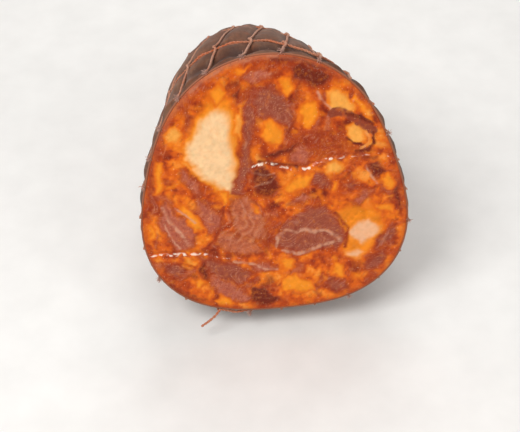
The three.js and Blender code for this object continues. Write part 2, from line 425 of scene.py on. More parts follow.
# What lies in the cut: the kind of each lump, and its outline across and upward from the middle, in mm
LUMPS = (
    ("deep", (-3, 57), (8, 56), (21, 51), (33, 42), (28, 44), (14, 50), (0, 52), (-12, 53)),
    ("deep", (-44, 24), (-49, 8), (-50, -10), (-46, -6), (-44, 8), (-39, 24)),
    ("deep", (-33, 36), (-24, 46), (-14, 51), (-20, 50), (-33, 41), (-42, 28)),
    ("deep", (14, 27), (26, 27), (33, 17), (20, 15), (8, 16), (5, 24)),
    ("deep", (46, -14), (47, -26), (36, -37), (33, -34), (40, -26)),
    ("deep", (-13, 1), (-6, -2), (-3, -12), (2, -20), (-2, -24), (-7, -18), (-8, -6)),
    (
        "halo", (-24, 45), (-15, 41), (-12, 30), (-14, 13), (-14, -3), (-19, -3), (-27, 7),
        (-34, 17), (-33, 27), (-28, 36),
    ),
    ("halo", (22, -8), (30, -5), (38, -6), (43, -9), (44, -19), (39, -26), (32, -32), (27, -27), (26, -18)),
    (
        "cream", (-20, 38), (-16, 36), (-14, 31), (-14, 19), (-13, 0), (-18, 1), (-28, 9),
        (-33, 16), (-34, 22), (-28, 32), (-23, 37),
    ),
    ("blush", (29, -18), (33, -13), (38, -12), (41, -15), (42, -19), (38, -22), (34, -24), (30, -21)),
    ("blush", (28, -26), (32, -25), (36, -27), (33, -30), (29, -29)),
    ("pale", (-14, 35), (-11, 35), (-11, 29), (-12, 24), (-14, 26)),
    (
        "lean", (-7, 46), (-10, 37), (-11, 26), (-13, 14), (-16, 1), (-12, 1), (-9, 11),
        (-7, 24), (-5, 35), (-3, 42),
    ),
    ("lean", (-7, 43), (-1, 46), (5, 41), (8, 34), (7, 28), (1, 31), (-4, 32), (-7, 37)),
    ("fat", (-4, 31), (1, 32), (4, 28), (4, 22), (-1, 21), (-4, 24)),
    ("fat", (2, 47), (7, 48), (9, 44), (6, 40), (3, 42)),
    ("fat", (10, 37), (13, 39), (16, 38), (18, 34), (16, 29), (13, 27), (10, 30)),
    ("pale", (20, 42), (23, 44), (28, 41), (31, 36), (31, 32), (27, 33), (22, 34)),
    ("fat", (31, 42), (36, 35), (40, 28), (37, 29), (33, 33), (30, 38)),
    ("pale", (34, 34), (37, 35), (39, 32), (36, 31)),
    ("fat", (25, 46), (29, 46), (29, 43), (26, 43)),
    ("pale", (27, 28), (30, 29), (34, 27), (36, 22), (33, 19), (29, 21)),
    ("dark", (7, 52), (13, 54), (19, 50), (22, 46), (17, 43), (12, 45), (8, 48)),
    ("dark", (-1, 56), (10, 56), (22, 50), (20, 49), (10, 53), (0, 54)),
    ("dark", (-15, 42), (-11, 45), (-12, 40)),
    ("fat", (-16, 50), (-12, 53), (-7, 53), (-13, 49)),
    ("pink", (-12, 49), (-4, 52), (2, 50), (-3, 47), (-8, 46)),
    ("fat", (-23, 45), (-19, 47), (-16, 44), (-18, 40), (-21, 37), (-24, 41)),
    ("pale", (-41, 29), (-36, 31), (-34, 27), (-36, 23), (-40, 24)),
    ("pale", (-35, 17), (-32, 16), (-30, 12), (-34, 14)),
    ("fat", (-45, 17), (-41, 16), (-42, 4), (-46, 2)),
    ("pink", (-36, 13), (-32, 11), (-29, 7), (-28, 1), (-31, 3), (-35, 8)),
    (
        "pink", (-44, -2), (-41, 0), (-37, -7), (-33, -9), (-30, -16), (-32, -20), (-38, -23),
        (-42, -16), (-45, -9),
    ),
    ("pink", (-29, 1), (-25, -3), (-20, -8), (-21, -14), (-26, -15), (-30, -4)),
    ("fat", (-38, -2), (-34, -2), (-29, -7), (-27, -14), (-31, -15), (-34, -9)),
    ("fat", (-22, 4), (-17, 3), (-17, -3), (-20, -4)),
    ("fat", (-50, -9), (-47, -10), (-46, -16), (-49, -18)),
    ("lean", (-47, 7), (-45, -2), (-46, -6), (-48, 0)),
    ("swirl", (-16, -1), (-11, 1), (-6, -4), (-4, -11), (-3, -19), (-12, -19), (-17, -11)),
    ("swirl", (-22, -15), (-17, -15), (-9, -19), (-5, -24), (-11, -26), (-18, -24), (-23, -20)),
    ("fat", (-10, -2), (-6, -4), (-5, -8), (-8, -8)),
    (
        "lean", (1, -16), (6, -10), (13, -6), (20, -6), (25, -11), (28, -20), (25, -26),
        (19, -24), (12, -26), (5, -25), (0, -22),
    ),
    ("dark", (-9, 12), (-4, 13), (1, 9), (3, 2), (-2, -1), (-7, 2)),
    ("pale", (1, -1), (4, 0), (4, -2), (0, -3)),
    ("lean", (27, 3), (30, 5), (34, 2), (30, 0)),
    ("pink", (30, -5), (35, 0), (40, 1), (37, -3), (33, -6)),
    ("pink", (5, -4), (11, 1), (15, -1), (12, -4)),
    ("lean", (16, 9), (20, 8), (22, 2), (18, 2), (15, 5)),
    ("dark", (36, 11), (40, 12), (45, 8), (43, 5), (38, 6)),
    ("pink", (5, 19), (10, 21), (15, 18), (13, 13), (7, 13)),
    ("dark", (-4, 17), (7, 20), (12, 23), (8, 18), (0, 15)),
    ("fat", (41, 5), (45, 8), (47, 3), (46, 0), (43, 1)),
    ("fat", (2, 2), (9, 9), (16, 9), (14, 3), (6, 0)),
    ("pale", (19, 12), (24, 15), (28, 11), (25, 8), (20, 8)),
    ("fat", (22, 5), (25, 5), (25, 1), (22, 1)),
    ("fat", (38, -5), (46, -6), (47, -10), (40, -9)),
    ("lean", (-29, -25), (-21, -28), (-14, -29), (-9, -34), (-14, -39), (-22, -37), (-28, -31)),
    ("pink", (-26, -34), (-18, -37), (-13, -42), (-6, -47), (-14, -47), (-22, -44), (-26, -39)),
    ("pink", (-10, -30), (-3, -29), (1, -32), (-4, -34), (-9, -33)),
    ("dark", (-10, -40), (-4, -41), (2, -47), (-3, -51), (-10, -48)),
    ("dark", (-30, -30), (-27, -27), (-26, -34), (-28, -38)),
    ("fat", (-33, -36), (-30, -34), (-27, -37), (-29, -41), (-32, -40)),
    ("pale", (-36, -25), (-30, -27), (-32, -29), (-36, -28)),
    ("fat", (-25, -46), (-22, -43), (-18, -45), (-16, -48), (-22, -49)),
    ("fat", (1, -29), (4, -27), (8, -29), (8, -33), (3, -33)),
    ("fat", (2, -37), (8, -35), (15, -39), (17, -44), (9, -44), (3, -43)),
    ("fat", (24, -31), (28, -32), (29, -38), (26, -39), (23, -35)),
    ("fat", (31, -36), (36, -36), (34, -40), (30, -40)),
    ("lean", (-44, -28), (-39, -27), (-35, -32), (-39, -35), (-43, -32)),
    ("dark", (-46, -36), (-40, -37), (-34, -43), (-28, -45), (-35, -46), (-41, -42)),
    ("lean", (22, -37), (28, -40), (30, -44), (24, -45), (20, -41)),
    ("lean", (35, -32), (42, -27), (45, -28), (41, -35), (36, -35)),
    ("lean", (40, -22), (46, -15), (49, -19), (45, -24), (41, -26)),
    ("dark", (48, 4), (50, -3), (50, -11), (48, -7), (47, 0)),
)
# Each kind's edge and core colours, how far in the core begins and how soft the edge is, in mm
MEAT_KINDS = {
    "deep": ("b4430a", "9a310b", 2.5, 1.6),
    "halo": ("e2690a", "f28c14", 3.0, 1.6),
    "fat": ("dd6408", "f1901c", 2.0, 0.6),
    "pale": ("ea7a10", "f3a748", 2.0, 0.6),
    "cream": ("f09428", "f4cb99", 3.4, 1.2),
    "blush": ("ee9238", "edb48a", 2.0, 1.0),
    "lean": ("a03a18", "984a36", 2.0, 0.6),
    "pink": ("b04a20", "b45c44", 1.6, 0.6),
    "swirl": ("b0501f", "b9603f", 2.0, 0.6),
    "dark": ("96340c", "6c1e0b", 1.4, 0.6),
}
FATTY = ("halo", "fat", "pale", "cream", "blush")
# How far each kind stands out from the cut, in mm
RISES = {"dark": -0.5, "deep": -0.1, "fat": 0.12, "pale": 0.15, "cream": 0.15}
# Sinews, curled skins and seams: their kind, their width in mm, and the points that they pass through
LINES = (
    (
        "sinew", 1.3, (0.5, -22), (1.4, -18), (4.6, -15.3), (8.5, -16.6), (11.7, -15.3),
        (15.6, -16.4), (20.3, -16.2), (24.5, -19), (26, -21),
    ),
    ("sinew", 1.2, (3.3, -24.4), (8.4, -26), (12.4, -25.6), (17.2, -23.4), (23, -21.6)),
    ("sinew", 0.8, (17, 42), (19, 38), (22, 35), (22, 32)),
    ("sinew", 1.0, (-15, 54), (-11, 55.4), (-7, 56.1), (-3, 56.8), (2, 57)),
    ("sinew", 0.8, (-30, 44), (-26, 47.6), (-18, 52.6)),
    ("sinew", 1.2, (-43, -3), (-40.5, -9), (-36, -15), (-34, -20)),
    ("sinew", 0.5, (-42.5, -10), (-40, -17), (-37, -21)),
    ("sinew", 0.7, (-38, -3.5), (-34, -6.5), (-30.5, -10)),
    ("sinew", 0.7, (35.5, 10.5), (37.5, 7), (40, 3)),
    ("sinew", 1.0, (-16, -28), (-9, -29.5), (-4, -32.5), (1, -33)),
    ("sinew", 0.6, (-8, 10), (-3, 8.5), (0.5, 9.5)),
    ("sinew", 0.8, (-7, 4.5), (-1, 5.5), (1, 8)),
    ("band", 3.2, (22.4, 33.1), (25, 34), (29, 32), (33, 28.5), (35.7, 26.7), (38, 25)),
    ("dark", 1.2, (38, 24.5), (38.6, 20), (36.6, 17.2), (32, 17)),
    ("curl", 1.0, (35, 25), (36.6, 22.6), (36.2, 19.7), (33.8, 18.4)),
    ("dark", 0.9, (28.2, 22.6), (30.5, 20.5), (33.5, 20)),
    ("dark", 1.6, (28, 32), (33, 31), (37.5, 28)),
    ("dark", 1.2, (-5, 14.5), (3, 12.8), (9, 11.8)),
    ("deep", 1.0, (-19, -4), (-22, -16), (-27, -22)),
    ("deep", 1.4, (24, -9), (29, -16), (28, -24)),
)
LINE_COLOURS = {"sinew": "d39a7c", "dark": "6f220d", "deep": "9c350f", "band": "8f4029", "curl": "ee9a4c"}
# The blade's steps, where the meat below each line stands out a little further than that above it:
# the places across between which the wet edge and its painted glint thin out, and the line's points
KNIFE_STEPS = (
    (
        (14, 46), (-8.5, 12.6), (-2.6, 14.0), (2.7, 12.4), (6.8, 11), (13.7, 11), (16, 12.9),
        (18.7, 14), (24, 15), (32.5, 15), (39.7, 15.8), (48, 13),
    ),
    (
        (-36, -14), (-52, -23.6), (-44, -23.5), (-33, -23.7), (-27.5, -24.1), (-21, -26.3),
        (-15, -26.7), (-9, -28),
    ),
)


def linear(text):
    """A colour in six hex digits, as an array in linear light."""
    return np.array(srgb(text))


def distance_to_line(x, y, points):
    """Distance from each place to a line through some points."""
    nearest = np.full(x.shape, 1e3)
    for (x1, y1), (x2, y2) in zip(points, points[1:]):
        run, rise = x2 - x1, y2 - y1
        share = np.clip(((x - x1) * run + (y - y1) * rise) / (run * run + rise * rise), 0, 1)
        nearest = np.minimum(nearest, np.hypot(x - x1 - share * run, y - y1 - share * rise))
    return nearest


def depth_inside(x, y, outline):
    """Distance from each place to an outline: positive inside it, negative outside."""
    closed = [*outline, outline[0]]
    inside = np.zeros(x.shape, bool)
    for (x1, y1), (x2, y2) in zip(closed, closed[1:]):
        if y1 != y2:
            inside ^= ((y1 > y) != (y2 > y)) & (x < x1 + (y - y1) * (x2 - x1) / (y2 - y1))
    return np.where(inside, 1, -1) * distance_to_line(x, y, closed)


def knife_steps(x, y, rough, wave):
    """Height of the blade's steps, how near each place is to one of their edges, where the glint is
    painted, and the painted shade in their undercuts.
    """
    height, edge, shade = np.zeros(x.shape), np.zeros(x.shape), np.zeros(x.shape)
    for (wet, dry), *line in KNIFE_STEPS:
        line_x, line_y = np.array(line).T
        above = y - np.interp(x, line_x, line_y) - 0.3 * rough
        present = smooth(line_x[0] - 1, line_x[0] + 1, x) * smooth(line_x[-1] + 1, line_x[-1] - 1, x)
        rise = np.where(above < 0, 0.5 * np.exp(above / 4), -0.4 * np.exp(-above / 5))
        height += present * rise * smooth(0, 0.5, abs(above))
        share = smooth(dry, wet, x)
        width = 0.25 + 0.35 * share + 0.2 * wave
        edge = np.maximum(edge, present * (0.55 + 0.45 * share) * bump(above, width))
        shade = np.maximum(shade, present * bump(above - 1.1, 0.7))
    return height, edge, shade


# the square grid of the cut is drawn out into the sausage's outline, so its cells stay even
side = np.linspace(-1, 1, FACE_CELLS + 1)
square_x, square_y = np.meshgrid(side, side, indexing="ij")
swapped = np.abs(square_x) <= np.abs(square_y)
major = np.where(swapped, square_y, square_x)
minor = np.where(swapped, square_x, square_y)
turn = math.pi / 4 * np.divide(minor, major, out=np.zeros_like(major), where=major != 0)
disc_x = np.where(swapped, major * np.sin(turn), major * np.cos(turn))
disc_y = np.where(swapped, major * np.cos(turn), major * np.sin(turn))
disc_angle = np.degrees(np.arctan2(disc_y, disc_x))
disc_radius = np.hypot(disc_x, disc_y)
face_radius = disc_radius * (body_radius(0 * disc_angle, disc_angle) - WALL)
x = face_radius * np.cos(np.radians(disc_angle)) / MM
y = face_radius * np.sin(np.radians(disc_angle)) / MM


def face_noise(size, seed):
    """Smooth noise over the cut, with features of about the size in mm."""
    return noise_at(x / size, y / size, 0, seed)


# the same unevenness runs through colours, outlines and heights
rough, fine, wave = face_noise(1.5, 5), face_noise(0.8, 6), face_noise(5, 7)
warp_x = x + 1.3 * face_noise(4, 8) + 0.5 * rough
warp_y = y + 1.3 * face_noise(4, 9) + 0.5 * face_noise(1.5, 10)
colour = np.empty((*x.shape, 3))
lean_share, fat_share, height = np.zeros(x.shape), np.zeros(x.shape), 0.15 * wave

# the mass between the lumps: paprika paste, marbled from dark red to orange
marbling = noise_at(warp_x / 6, warp_y / 6, 0, 11) + 0.6 * noise_at(warp_x / 2.6, warp_y / 2.6, 0, 12)
marbling = marbling + 0.30 * rough + 0.18 * fine
PASTE = {-0.9: "7c230a", -0.45: "a7390b", -0.15: "c64e0c", 0.15: "da600f", 0.5: "ea7a14", 0.9: "f2953a"}
for channel in range(3):
    shades = [linear(text)[channel] for text in PASTE.values()]
    colour[..., channel] = np.interp(marbling, list(PASTE), shades)
fat_share += 0.5 * smooth(0.2, 0.8, marbling)


def paint(colours, cover, lean=0.0, fat=0.0):
    """Lays colours over the cut, and notes how lean or fat it has become there."""
    cover = np.clip(cover, 0, 1)
    colour[:] += cover[..., None] * (colours - colour)
    lean_share[:] += cover * (lean - lean_share)
    fat_share[:] += cover * (fat - fat_share)


def lay_lump(kind, inside, strength):
    """One lump of a kind, from its edge colour to its core colour."""
    edge, core, core_depth, soft = MEAT_KINDS[kind]
    is_fat = kind in FATTY
    shade = 1 + (0.07 * wave + 0.10 * rough + 0.06 * fine)[..., None]
    to_core = smooth(0, core_depth, inside + 0.4 * rough + 0.4 * wave)[..., None]
    cover = strength * smooth(-soft, soft, inside + 0.25 * fine)
    if not is_fat and kind != "deep":
        paint(linear("9c350f"), 0.5 * strength * smooth(-1.4, -0.2, inside), lean=0.4)
    lean = 0.35 if kind == "dark" else float(not is_fat)
    paint(shade * (linear(edge) + to_core * (linear(core) - linear(edge))), cover, lean, float(is_fat))
    return smooth(-0.2, 1.2, inside)


# small lumps at random, and then the large ones over them
SMALL_LUMPS = 420
mince = np.random.default_rng(4)
MINCE_KINDS = ("fat", "fat", "fat", "pale", "lean", "pink", "deep", "dark")
for _ in range(SMALL_LUMPS):
    kind = mince.choice(MINCE_KINDS)
    mid_x, mid_y = mince.uniform(-54, 54, 2)
    size, way, length = mince.uniform(0.4, 1.5), mince.uniform(0, math.pi), mince.uniform(0.4, 3.5)
    reach = (length * math.cos(way), length * math.sin(way))
    chain = [(mid_x - reach[0], mid_y - reach[1]), (mid_x + reach[0], mid_y + reach[1])]
    lay_lump(kind, size - distance_to_line(warp_x, warp_y, chain), 0.7)
for kind, *outline in LUMPS:
    inside = depth_inside(warp_x, warp_y, outline)
    present = lay_lump(kind, inside, 0.75 if kind in ("deep", "halo") else 0.95)
    height += RISES.get(kind, 0) * present
# muscle fibres run through the lean, and curl round in the gristly lump
fibre_way = 2.0 * face_noise(14, 13) + 0.9
fibre_across = (x * np.sin(fibre_way) - y * np.cos(fibre_way)) / 0.6
fibre_along = (x * np.cos(fibre_way) + y * np.sin(fibre_way)) / 5
fibres = noise_at(fibre_across, fibre_along, 0, 14)
curls = np.sin(1.9 * np.hypot(x + 22, (y + 9) * 1.2) + 4.5 * wave + 1.5 * rough)
gristle = smooth(3, -4, np.hypot(x + 12, y + 13) - 9)
paint(linear("d49478"), 0.35 * lean_share * smooth(0.1, 0.6, fibres), lean=1.0)
paint(linear("7d2a14"), 0.35 * lean_share * smooth(0.1, 0.6, -fibres), lean=1.0)
paint(linear("d58f68"), 0.35 * gristle * smooth(0.2, 1, curls), lean=0.6)
paint(linear("a3421f"), 0.35 * gristle * smooth(0.2, 1, -curls), lean=0.8)
veins = smooth(0.08, 0.0, np.abs(noise_at(warp_x / 5, warp_y / 5, 0, 15)))
paint(linear("e5955a"), 0.2 * veins * smooth(-0.2, 0.4, rough) * (1 - fat_share), lean=0.2)
for kind, width, *points in LINES:
    off_line = distance_to_line(x + 0.45 * rough, y + 0.45 * wave + 0.2 * fine, points)
    half = width * (0.5 + 0.22 * wave + 0.15 * rough)
    on_line = smooth(half + 0.4, half - 0.4, off_line)
    firm = (0.30 if kind == "sinew" else 0.7) + 0.45 * smooth(-0.35, 0.25, rough + wave)
    paint(linear(LINE_COLOURS[kind]), firm * on_line, lean=0.5)
    height += (0.15 if kind == "sinew" else -0.3) * on_line
steps, step_glint, undercut_shade = knife_steps(x, y, rough, wave)
# painted shade: a darker red band just above each step's edge, on its recessed side
paint(linear("8a3112"), 0.35 * undercut_shade, lean=0.3)
paint(linear("a8411a"), 0.5 * smooth(0.95, 1.0, disc_radius + 0.008 * rough), lean=0.2)
top_edge = smooth(0.95, 0.99, disc_radius + 0.01 * rough) * bump(wrapped(disc_angle - 110), 38)
paint(linear("bd7050"), 0.6 * top_edge, lean=0.2)
# painted highlight: pale glints along the knife steps' edges, broken into beads, and glint droplets near
# the top of the rim; the same mask makes these places glossy and a little raised
glint_beads = smooth(-0.4, 0.3, noise_at(x / 1.4, y / 0.8, 0, 16) + 0.4 * face_noise(6, 17))
near_rim = bump(disc_radius - 0.93, 0.07) * smooth(0, 40, y)
glint_droplets = smooth(0.56, 0.66, face_noise(0.9, 19) + 0.25 * near_rim)
wet = np.clip(step_glint * glint_beads + 0.4 * glint_droplets, 0, 1)
height += steps + 0.06 * rough + 0.05 * fine + 0.07 * fibres * lean_share + 0.3 * wet
height *= smooth(1.0, 0.97, disc_radius)

meat_material, nodes, shader = new_material(
    "cured_meat",
    specular_ior_level=0.15,
    coat_roughness=0.15,
    subsurface_weight=0.1,
    subsurface_radius=(1, 0.35, 0.12),
    subsurface_scale=1.5 * MM,
)
place = nodes.add("ShaderNodeTexCoord", output="Object")
painted = nodes.add("ShaderNodeAttribute", {"attribute_name": "painted"}, output="Color")
lean_part = nodes.add("ShaderNodeAttribute", {"attribute_name": "lean"}, output="Fac")
fat_part = nodes.add("ShaderNodeAttribute", {"attribute_name": "fat"}, output="Fac")
wet_and_glint_part = nodes.add("ShaderNodeAttribute", {"attribute_name": "wet"}, output="Fac")
grains = nodes.noise(place, 1400, 3, 0.6)
crumbs = nodes.noise(place, 480, 4, 0.65)
meaty = 1 - fat_part
meat_colour = nodes.mix(crumbs.between(0.50, 0.72) * meaty * 0.30, painted, srgb("e87e22"))
meat_colour = nodes.mix(crumbs.between(0.48, 0.28) * meaty * 0.50, meat_colour, srgb("7a230c"))
# pale specks in the meat: fat specks that also stand in for small painted highlights
meat_colour = nodes.mix(grains.between(0.60, 0.75) * meaty * 0.25, meat_colour, srgb("efaa74"))
meat_colour = nodes.mix(crumbs.between(0.45, 0.7) * fat_part * 0.15, meat_colour, srgb("e8801c"))
# painted highlight: tiny pale glints all over the cut
meat_colour = nodes.mix(grains.between(0.66, 0.74) * 0.4, meat_colour, srgb("f6cfa2"))
# painted highlight: a pale glint colour along the knife steps' edges and in the droplets
meat_colour = nodes.mix(wet_and_glint_part.between(0.3, 0.9) * 0.8, meat_colour, srgb("fbe9d6"))
nodes.fill(shader.inputs["Base Color"], meat_colour)
nodes.fill(shader.inputs["Roughness"], 0.34 + 0.2 * crumbs + 0.08 * lean_part - 0.2 * wet_and_glint_part)
nodes.fill(shader.inputs["Coat Weight"], 0.1 + 0.8 * wet_and_glint_part)
surface_relief = crumbs * (0.35 + 0.65 * meaty) + 0.35 * grains
meat_bump = nodes.raised(surface_relief, 0.4 * MM, 0.7)
nodes.fill(shader.inputs["Normal"], meat_bump)

count = FACE_CELLS + 1
face_points = place_point(-height * MM, disc_angle, face_radius, 0).reshape(-1, 3)
cell_i, cell_j = np.meshgrid(np.arange(FACE_CELLS), np.arange(FACE_CELLS), indexing="ij")
corner = (cell_i * count + cell_j).reshape(-1)
face_faces = np.stack([corner, corner + count, corner + count + 1, corner + 1], -1).tolist()
# the grid's border is the rim: from there rings lead back inside the casing
border = [i * count for i in range(FACE_CELLS)]
border += [FACE_CELLS * count + j for j in range(FACE_CELLS)]
border += [i * count + FACE_CELLS for i in range(FACE_CELLS, 0, -1)]
border += list(range(FACE_CELLS, 0, -1))
rim_angle = disc_angle.reshape(-1)[border]
rings = []
for along in np.array([1.2, 4, 7, 10, 13, 16, 20, 30, 45, 70, 92, 108, 117]) * MM:
    inner = body_radius(along, rim_angle) + folds(along, rim_angle) - hollow(along, rim_angle)
    inner = inner - 1.15 * WALL - 0.6 * MM * smooth(0, 3 * MM, along)
    rings.append(place_point(along, rim_angle, inner, 2 * STRING_LAYER + 1.5 * WALL))
back_middle = place_point(np.array([118 * MM]), np.array([0.0]), np.array([0.0]), 0)
start = len(face_points)
side_faces = []
for k in range(len(border)):
    after = (k + 1) % len(border)
    side_faces.append((border[k], start + k, start + after, border[after]))
for face in ring_faces(len(rings), len(border)):
    side_faces.append(tuple(start + v for v in reversed(face)))
vertices = np.concatenate([face_points, *rings, back_middle])
filling = new_piece("cured_filling", vertices, face_faces + side_faces, meat_material)
behind = len(vertices) - len(face_points)
painted_face = np.concatenate([colour.reshape(-1, 3), np.ones((len(face_points), 1))], 1)
painted_rows = np.concatenate([painted_face, np.tile([*linear("9c350f"), 1], (behind, 1))])
painting = filling.data.attributes.new("painted", "FLOAT_COLOR", "POINT")
painting.data.foreach_set("color", painted_rows.ravel())
for name, values in (("lean", lean_share), ("fat", fat_share), ("wet", wet)):
    row = np.concatenate([values.ravel(), np.zeros(behind)])
    filling.data.attributes.new(name, "FLOAT", "POINT").data.foreach_set("value", row)
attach(filling, "root")
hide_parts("filling")

# ---- Net ----
# Cotton strings pulled tight over the casing before curing: one thread winds round it, and 25
# strands run lengthwise over that. Paprika fat has soaked them pink and orange.


def thread_tree():
    """Geometry Nodes: lays twisted plies of cotton along each path."""
    tree = bpy.data.node_groups.new("twisted_thread", "GeometryNodeTree")
    tree.is_modifier = True
    sockets = (
        ("Paths", "NodeSocketGeometry"),
        ("Plies", "NodeSocketInt"),
        ("Diameter", "NodeSocketFloat"),
        ("Twist Length", "NodeSocketFloat"),
        ("Step", "NodeSocketFloat"),
        ("Cotton", "NodeSocketMaterial"),
    )
    for name, kind in sockets:
        tree.interface.new_socket(name, in_out="INPUT", socket_type=kind)
    tree.interface.new_socket("Thread", in_out="OUTPUT", socket_type="NodeSocketGeometry")
    nodes = Nodes(tree)
    given = nodes.add("NodeGroupInput")
    diameter, plies = given.output("Diameter"), given.output("Plies")
    path = nodes.add("GeometryNodeMeshToCurve", None, {"Mesh": given.output("Paths")})
    sockets = {"Curve": path, "Length": given.output("Step")}
    path = nodes.add("GeometryNodeResampleCurve", {"mode": "LENGTH"}, sockets)
    path = nodes.add("GeometryNodeSetCurveNormal", None, {"Curve": path})
    sockets = {"Geometry": path, "Amount": plies}
    copies = nodes.add("GeometryNodeDuplicateElements", {"domain": "SPLINE"}, sockets)
    number = copies.output("Duplicate Index")
    length = nodes.add("GeometryNodeSplineParameter", output="Length")
    point = nodes.add("GeometryNodeInputPosition")
    uneven = nodes.noise(point, 260, 2) - 0.5
    turns = number / plies + length / given.output("Twist Length") + 0.5 * uneven
    sockets = {
        "Vector": nodes.add("GeometryNodeInputNormal"),
        "Axis": nodes.add("GeometryNodeInputTangent"),
        "Angle": turns * math.tau,
    }
    outward = nodes.add("ShaderNodeVectorRotate", {"rotation_type": "AXIS_ANGLE"}, sockets)
    reach = diameter * (0.25 + 0.14 * uneven)
    shift = nodes.add("ShaderNodeVectorMath", {"operation": "SCALE"}, {0: outward, "Scale": reach})
    plied = nodes.add("GeometryNodeSetPosition", None, {"Geometry": copies, "Offset": shift})
    sockets = {"Resolution": 5, "Radius": diameter * 0.27}
    section = nodes.add("GeometryNodeCurvePrimitiveCircle", None, sockets)
    sockets = {"Curve": plied, "Profile Curve": section, "Fill Caps": True}
    mesh = nodes.add("GeometryNodeCurveToMesh", None, sockets)
    mesh = nodes.add("GeometryNodeSetShadeSmooth", None, {"Geometry": mesh})
    mesh = nodes.add("GeometryNodeRealizeInstances", None, {"Geometry": mesh})
    sockets = {"Geometry": mesh, "Material": given.output("Cotton")}
    mesh = nodes.add("GeometryNodeSetMaterial", None, sockets)
    nodes.add("NodeGroupOutput", None, {"Thread": mesh})
    return tree


def grown(name, tree, points, edges, inputs, vectors=None):
    """A plain mesh piece made by a Geometry Nodes tree from points and edges."""
    seed_mesh = bpy.data.meshes.new(name)
    seed_mesh.from_pydata([tuple(p) for p in points], edges, [])
    if vectors is not None:
        way = seed_mesh.attributes.new("way", "FLOAT_VECTOR", "POINT")
        way.data.foreach_set("vector", np.asarray(vectors, float).ravel())
    piece = bpy.data.objects.new(name, seed_mesh)
    bpy.context.collection.objects.link(piece)
    modifier = piece.modifiers.new("nodes", "NODES")
    modifier.node_group = tree
    for item in tree.interface.items_tree:
        if item.in_out == "INPUT" and item.name in inputs:
            modifier[item.identifier] = inputs[item.name]
    evaluated = piece.evaluated_get(bpy.context.evaluated_depsgraph_get())
    mesh = bpy.data.meshes.new_from_object(evaluated)
    piece.modifiers.clear()
    piece.data = mesh
    bpy.data.meshes.remove(seed_mesh)
    return piece


def thread(name, paths, **inputs):
    """A twisted thread along some paths: the keywords name the tree's inputs."""
    points = [point for path in paths for point in path]
    starts = np.cumsum([0, *(len(path) for path in paths)])
    edges = [(k, k + 1) for a, b in zip(starts, starts[1:]) for k in range(a, b - 1)]
    named = {words.replace("_", " ").title(): value for words, value in inputs.items()}
    return grown(name, twisted_thread, points, edges, named)


def cotton(name, plain, soaked, soaked_share):
    """Cotton yarn: matte and fuzzy, in its own colour where it's dry and darker where fat has soaked in."""
    material, nodes, shader = new_material(name, roughness=0.85, sheen_weight=0.12, sheen_roughness=0.5)
    place = nodes.add("ShaderNodeTexCoord", output="Object")
    stain = nodes.noise(place, 75, 4, 0.65)
    lint = nodes.noise(place, 2400, 2)
    dry = 0.5 * soaked_share
    stained = stain.between(0.72 - dry, 0.9 - dry)
    colour = nodes.mix(stained, srgb(plain), srgb(soaked))
    colour = nodes.mix(lint.between(0.45, 0.7) * 0.35, colour, srgb("e3c2ad"))
    colour = nodes.mix(lint.between(0.5, 0.3) * 0.35, colour, srgb("6b3a28"))
    nodes.fill(shader.inputs["Base Color"], colour)
    fuzz = nodes.raised(lint, 0.12 * MM, 0.8)
    nodes.fill(shader.inputs["Normal"], fuzz)
    return material


def on_skin(along, angle, lift, clearance):
    """Points that far above the casing, folds and all."""
    radius = body_radius(along, angle) + folds(along, angle) + lift
    return place_point(along, angle, radius, clearance)


twisted_thread = thread_tree()
strand_cotton = cotton("strand_cotton", "ba8266", "b9653a", 0.5)
weft_cotton = cotton("cross_thread_cotton", "bb724e", "c05f2a", 0.6)
twine_cotton = cotton("tie_twine", "b59778", "9c6a48", 0.4)

# The cross thread bows back between the strands, which hold it towards the cut
WEFT_BOW = 0.9 * MM
weft_along = np.concatenate([np.arange(1.5, 112, 0.12), np.arange(112, 123.4, 0.05)]) * MM
weft_angle = WEFT_START + 360 * weft_along / WEFT_PITCH
strand_phase = np.radians(STRANDS * (weft_angle - STRAND_START - STRAND_TWIST * weft_along))
on_body = smooth(2 * MM, 6 * MM, weft_along) * smooth(118 * MM, 104 * MM, weft_along)
pulled = WEFT_PULL * bump(weft_angle - WEFT_PULL_ANGLE, 9)
bowed = weft_along - WEFT_BOW * np.cos(strand_phase) * on_body - pulled
weft_points = on_skin(bowed, weft_angle, 0.35 * MM, STRING_LAYER + STRING / 2)
# its cut end runs on behind the rim, comes forward past it, and then stands out and down
rim_radius = float(body_radius(0.0, WEFT_START))
loose_along = np.array([-2.4, -2.2, -1.6, 0.6, 1.4]) * MM
loose_angle = WEFT_START + np.array([-5.5, -4, -2.4, -1, 6.0])
loose_radius = rim_radius + np.array([9.5, 6.5, 3.2, 0.7, 0.7]) * MM
loose_end = place_point(loose_along, loose_angle, loose_radius, STRING / 2)
weft_points = np.concatenate([loose_end, weft_points])
weft = thread(
    "cross_thread",
    [weft_points],
    plies=2,
    diameter=1.15 * MM,
    twist_length=3.2 * MM,
    step=0.75 * MM,
    cotton=weft_cotton,
)
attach(weft, "root")
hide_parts("net_cross_thread")

